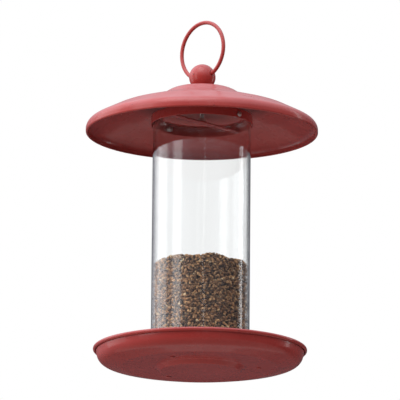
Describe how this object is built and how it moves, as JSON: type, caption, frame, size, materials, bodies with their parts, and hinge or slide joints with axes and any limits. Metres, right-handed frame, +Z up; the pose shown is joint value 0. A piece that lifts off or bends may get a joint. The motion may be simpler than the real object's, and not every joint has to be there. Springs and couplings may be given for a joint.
{
  "type": "hanging bird feeder",
  "caption": "Hanging seed feeder: clear tube between a domed metal roof and a dished metal tray, hung by a wire loop through a ball finial.",
  "frame": {"origin": "hook seat: the inner top of the wire loop, where the hook bears", "axes": "+Z up, from the tray to the loop; the loop lies in the XZ plane and the cross bar runs along Y"},
  "size_m": [0.332, 0.332, 0.5125],
  "materials": {
    "red_paint": "semi-gloss powder coat, brick red",
    "zinc_steel": "bright zinc plate",
    "clear_plastic": "clear, polished, faint green tint",
    "black_rubber": "matte",
    "seed_mix": "dry mixed seed and pellets, brown"
  },
  "bodies": {
    "hanger": {"hanger_loop": "red_paint"},
    "finial": {"finial_ball": "red_paint"},
    "seal": {"finial_seal": "black_rubber"},
    "roof": {"roof_shell": "red_paint"},
    "feeder": {"roof_washer": "zinc_steel", "roof_nut": "zinc_steel", "centre_stud": "zinc_steel", "stud_foot_nut": "zinc_steel", "cross_bar": "red_paint", "top_collar": "red_paint", "collar_screw_right": "zinc_steel", "collar_screw_left": "zinc_steel", "collar_nut_right": "zinc_steel", "collar_nut_left": "zinc_steel", "feed_tube": "clear_plastic", "base_ring": "red_paint", "base_screw_front": "zinc_steel", "base_screw_back": "zinc_steel", "tray": "red_paint", "tray_rivet_1": "red_paint", "tray_rivet_2": "red_paint", "tray_rivet_3": "red_paint", "seed_baffle": "zinc_steel", "seed_fill": "seed_mix"}
  },
  "joints": [
    {"name": "loop_swing", "type": "hinge", "parent": "hanger", "child": "finial", "pos_m": [0, 0, -0.0747], "axis": [1, 0, 0], "range_deg": [-110, 110]},
    {"name": "finial_turn", "type": "hinge", "parent": "finial", "child": "seal", "pos_m": [0, 0, -0.0944], "axis": [0, 0, -1], "range_deg": [0, 4320]},
    {"name": "finial_rise", "type": "slide", "parent": "seal", "child": "roof", "axis": [0, 0, -1], "range_m": [0, 0.012]},
    {"name": "roof_lift", "type": "slide", "parent": "roof", "child": "feeder", "axis": [0, 0, -1], "range_m": [0, 0.12]}
  ],
  "couplings": [
    {"joint": "finial_rise", "follows": "finial_turn", "m_per_rad": 0.00015915}
  ]
}
